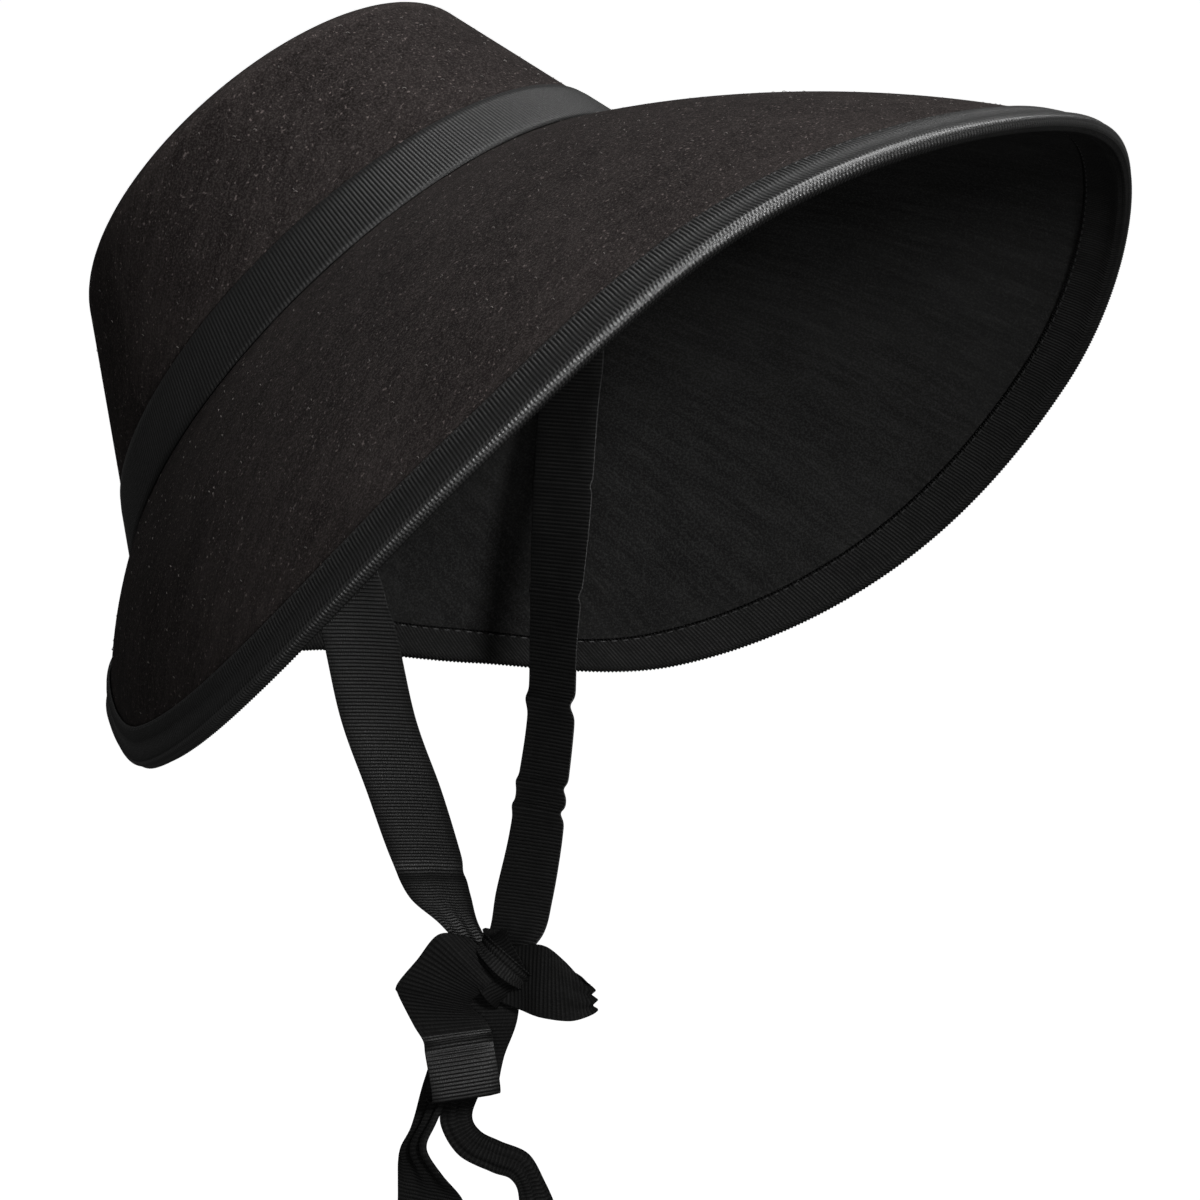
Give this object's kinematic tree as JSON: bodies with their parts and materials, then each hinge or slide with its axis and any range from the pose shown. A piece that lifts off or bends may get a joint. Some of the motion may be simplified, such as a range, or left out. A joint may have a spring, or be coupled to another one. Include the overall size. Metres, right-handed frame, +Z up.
{
  "type": "prairie bonnet",
  "caption": "Deep-brimmed black felt bonnet with a tapered flat-topped crown, ribbon band and bound edge, held on by ribbon ties knotted under the chin.",
  "frame": {"origin": "centre of the headline, the oval where the brim meets the crown, where a head fills the bonnet", "axes": "+Z up as worn, -Y the wearer's front, +X the wearer's left; the headline's plane is tipped back 47 degrees"},
  "size_m": [0.3236, 0.3116, 0.3783],
  "materials": {
    "felt": "brushed wool felt, matt",
    "ribbon": "ribbed grosgrain, slight sheen"
  },
  "bodies": {
    "root": {"brim": "felt", "crown": "felt", "band": "ribbon", "brim_binding": "ribbon", "tie_right": "ribbon", "tie_left": "ribbon", "knot": "ribbon", "bow_loop_front": "ribbon", "bow_loop_right": "ribbon", "tail_left": "ribbon", "tail_right": "ribbon"}
  },
  "joints": []
}
